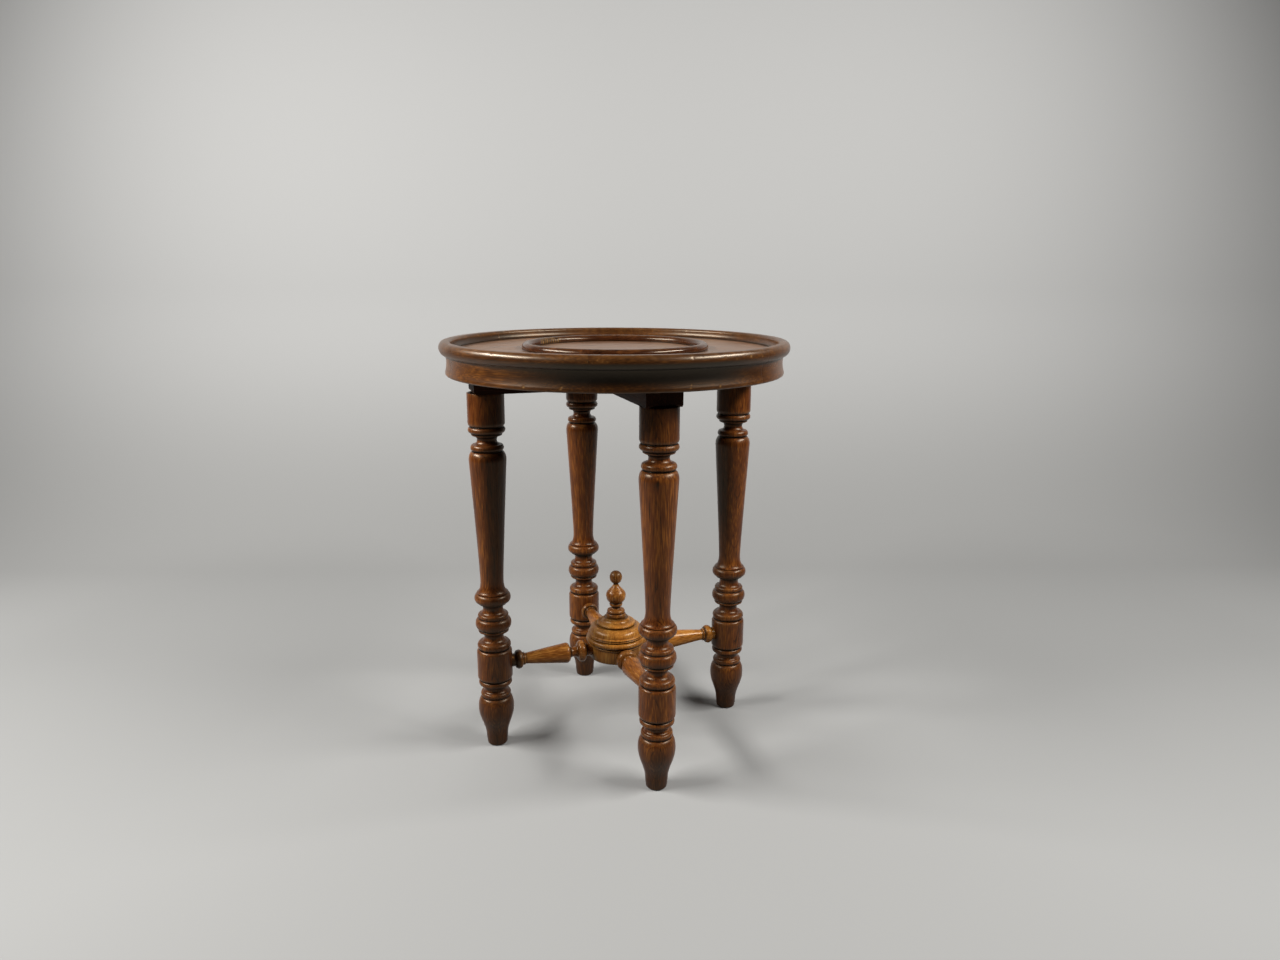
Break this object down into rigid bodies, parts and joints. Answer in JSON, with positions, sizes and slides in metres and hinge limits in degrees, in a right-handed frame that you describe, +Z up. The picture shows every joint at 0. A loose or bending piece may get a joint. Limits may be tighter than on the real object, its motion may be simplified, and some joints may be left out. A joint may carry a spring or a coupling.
{
  "type": "wine table",
  "caption": "Round rimmed oak tray top with a raised bottle ring, on turned legs tied low down by turned spindles to a hub with a finial.",
  "frame": {"origin": "on the floor under the middle of the table", "axes": "+Z up; the legs stand on the X and Y axes, the front leg on -Y and the right leg on +X"},
  "size_m": [0.504, 0.504, 0.6124],
  "materials": {
    "board_oak": "worn satin varnish over dark stain",
    "rim_oak": "satin varnish over dark stain, worn at the crest",
    "bearer_oak": "dull stain",
    "leg_oak": "satin varnish over dark stain",
    "stretcher_oak": "satin varnish over honey-brown stain",
    "screw_steel": "dull, aged"
  },
  "bodies": {
    "root": {"top_board_1": "board_oak", "top_board_2": "board_oak", "top_board_3": "board_oak", "rim_segment_1": "rim_oak", "rim_segment_2": "rim_oak", "rim_segment_3": "rim_oak", "rim_segment_4": "rim_oak", "rim_segment_5": "rim_oak", "rim_segment_6": "rim_oak", "bottle_ring": "rim_oak", "bearer_side_to_side": "bearer_oak", "bearer_front_to_back": "bearer_oak", "bearer_screws": "screw_steel", "leg_right": "leg_oak", "leg_back": "leg_oak", "leg_left": "leg_oak", "leg_front": "leg_oak", "leg_wedges": "leg_oak", "spindle_right": "stretcher_oak", "spindle_back": "stretcher_oak", "spindle_left": "stretcher_oak", "spindle_front": "stretcher_oak", "hub": "stretcher_oak", "finial": "stretcher_oak"}
  },
  "joints": []
}
